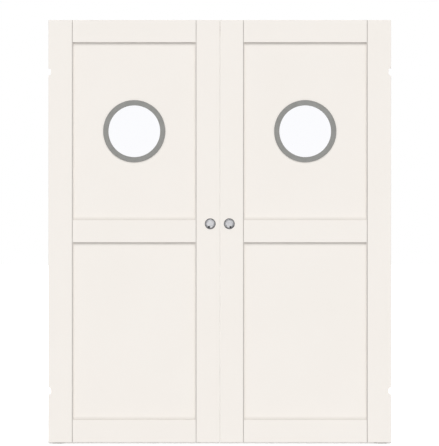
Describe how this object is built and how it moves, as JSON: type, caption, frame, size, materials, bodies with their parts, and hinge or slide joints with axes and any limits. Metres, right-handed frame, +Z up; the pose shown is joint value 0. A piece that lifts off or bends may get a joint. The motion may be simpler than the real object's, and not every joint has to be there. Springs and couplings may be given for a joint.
{
  "type": "double sliding door",
  "caption": "Pair of panelled sliding door leaves with round portholes and flush cup pulls, hung on hidden telescopic running gear in front of a slim timber frame.",
  "frame": {"origin": "on the floor, at the centre of the whole object's footprint, below the meeting line of the leaves", "axes": "+X along the leaves to the right as seen from the front, +Y from the front of the leaves to the frame, +Z up"},
  "size_m": [1.653, 0.1424, 2.045],
  "materials": {
    "leaf_lacquer": "satin",
    "frame_lacquer": "satin",
    "beech": "matte",
    "clear_glass": "polished",
    "satin_steel": "satin",
    "polished_nickel": "polished",
    "rail_aluminium": "satin",
    "zinc_steel": "satin",
    "black_steel": "satin",
    "coated_steel": "satin",
    "white_acetal": "satin",
    "black_rubber": "matte",
    "pale_rubber": "matte"
  },
  "bodies": {
    "frame": {"left_jamb": "frame_lacquer", "right_jamb": "frame_lacquer", "frame_head": "frame_lacquer", "head_rail": "rail_aluminium", "head_rail_screws": "zinc_steel", "head_rail_stops": "black_rubber", "left_floor_guide": "coated_steel", "right_floor_guide": "coated_steel", "floor_guide_screws": "zinc_steel"},
    "left_leaf": {"left_outer_stile": "leaf_lacquer", "left_meeting_stile": "leaf_lacquer", "left_top_rail": "leaf_lacquer", "left_middle_rail": "leaf_lacquer", "left_bottom_rail": "leaf_lacquer", "left_upper_panel": "leaf_lacquer", "left_lower_panel": "leaf_lacquer", "left_joint_dowels": "beech", "left_porthole_glass": "clear_glass", "left_front_porthole_ring": "satin_steel", "left_rear_porthole_ring": "satin_steel", "left_porthole_gaskets": "black_rubber", "left_porthole_screws": "zinc_steel", "left_front_pull": "polished_nickel", "left_rear_pull": "polished_nickel", "left_hanging_rail": "rail_aluminium", "left_leaf_screws": "black_steel", "left_hanging_rail_stops": "black_rubber", "left_guide_channel": "rail_aluminium", "left_meeting_seal": "pale_rubber"},
    "left_runner": {"left_runner_bar": "zinc_steel", "left_roller_pins": "zinc_steel"},
    "left_front_roller_1": {"left_front_roller_1": "white_acetal"},
    "left_front_roller_2": {"left_front_roller_2": "white_acetal"},
    "left_rear_roller_1": {"left_rear_roller_1": "white_acetal"},
    "left_rear_roller_2": {"left_rear_roller_2": "white_acetal"},
    "right_leaf": {"right_outer_stile": "leaf_lacquer", "right_meeting_stile": "leaf_lacquer", "right_top_rail": "leaf_lacquer", "right_middle_rail": "leaf_lacquer", "right_bottom_rail": "leaf_lacquer", "right_upper_panel": "leaf_lacquer", "right_lower_panel": "leaf_lacquer", "right_joint_dowels": "beech", "right_porthole_glass": "clear_glass", "right_front_porthole_ring": "satin_steel", "right_rear_porthole_ring": "satin_steel", "right_porthole_gaskets": "black_rubber", "right_porthole_screws": "zinc_steel", "right_front_pull": "polished_nickel", "right_rear_pull": "polished_nickel", "right_hanging_rail": "rail_aluminium", "right_leaf_screws": "black_steel", "right_hanging_rail_stops": "black_rubber", "right_guide_channel": "rail_aluminium"},
    "right_runner": {"right_runner_bar": "zinc_steel", "right_roller_pins": "zinc_steel"},
    "right_front_roller_1": {"right_front_roller_1": "white_acetal"},
    "right_front_roller_2": {"right_front_roller_2": "white_acetal"},
    "right_rear_roller_1": {"right_rear_roller_1": "white_acetal"},
    "right_rear_roller_2": {"right_rear_roller_2": "white_acetal"}
  },
  "joints": [
    {"name": "left_leaf_slide", "type": "slide", "parent": "frame", "child": "left_leaf", "axis": [-1, 0, 0], "range_m": [0, 0.665]},
    {"name": "left_runner_slide", "type": "slide", "parent": "frame", "child": "left_runner", "axis": [-1, 0, 0], "range_m": [0, 0.3325]},
    {"name": "left_front_roller_1_spin", "type": "hinge", "parent": "left_runner", "child": "left_front_roller_1", "pos_m": [-0.377, -0.04725, 2.006], "axis": [0, 1, 0], "continuous": true},
    {"name": "left_front_roller_2_spin", "type": "hinge", "parent": "left_runner", "child": "left_front_roller_2", "pos_m": [-0.777, -0.04725, 2.006], "axis": [0, 1, 0], "continuous": true},
    {"name": "left_rear_roller_1_spin", "type": "hinge", "parent": "left_runner", "child": "left_rear_roller_1", "pos_m": [-0.037, -0.02625, 2.006], "axis": [0, 1, 0], "continuous": true},
    {"name": "left_rear_roller_2_spin", "type": "hinge", "parent": "left_runner", "child": "left_rear_roller_2", "pos_m": [-0.437, -0.02625, 2.006], "axis": [0, 1, 0], "continuous": true},
    {"name": "right_leaf_slide", "type": "slide", "parent": "frame", "child": "right_leaf", "axis": [1, 0, 0], "range_m": [0, 0.665]},
    {"name": "right_runner_slide", "type": "slide", "parent": "frame", "child": "right_runner", "axis": [1, 0, 0], "range_m": [0, 0.3325]},
    {"name": "right_front_roller_1_spin", "type": "hinge", "parent": "right_runner", "child": "right_front_roller_1", "pos_m": [0.377, -0.04725, 2.006], "axis": [0, 1, 0], "continuous": true},
    {"name": "right_front_roller_2_spin", "type": "hinge", "parent": "right_runner", "child": "right_front_roller_2", "pos_m": [0.777, -0.04725, 2.006], "axis": [0, 1, 0], "continuous": true},
    {"name": "right_rear_roller_1_spin", "type": "hinge", "parent": "right_runner", "child": "right_rear_roller_1", "pos_m": [0.037, -0.02625, 2.006], "axis": [0, 1, 0], "continuous": true},
    {"name": "right_rear_roller_2_spin", "type": "hinge", "parent": "right_runner", "child": "right_rear_roller_2", "pos_m": [0.437, -0.02625, 2.006], "axis": [0, 1, 0], "continuous": true}
  ],
  "couplings": [
    {"joint": "left_runner_slide", "follows": "left_leaf_slide", "ratio": 0.5},
    {"joint": "left_front_roller_1_spin", "follows": "left_leaf_slide", "rad_per_m": -29.94},
    {"joint": "left_front_roller_2_spin", "follows": "left_leaf_slide", "rad_per_m": -29.94},
    {"joint": "left_rear_roller_1_spin", "follows": "left_leaf_slide", "rad_per_m": -29.94},
    {"joint": "left_rear_roller_2_spin", "follows": "left_leaf_slide", "rad_per_m": -29.94},
    {"joint": "right_runner_slide", "follows": "right_leaf_slide", "ratio": 0.5},
    {"joint": "right_front_roller_1_spin", "follows": "right_leaf_slide", "rad_per_m": 29.94},
    {"joint": "right_front_roller_2_spin", "follows": "right_leaf_slide", "rad_per_m": 29.94},
    {"joint": "right_rear_roller_1_spin", "follows": "right_leaf_slide", "rad_per_m": 29.94},
    {"joint": "right_rear_roller_2_spin", "follows": "right_leaf_slide", "rad_per_m": 29.94}
  ]
}
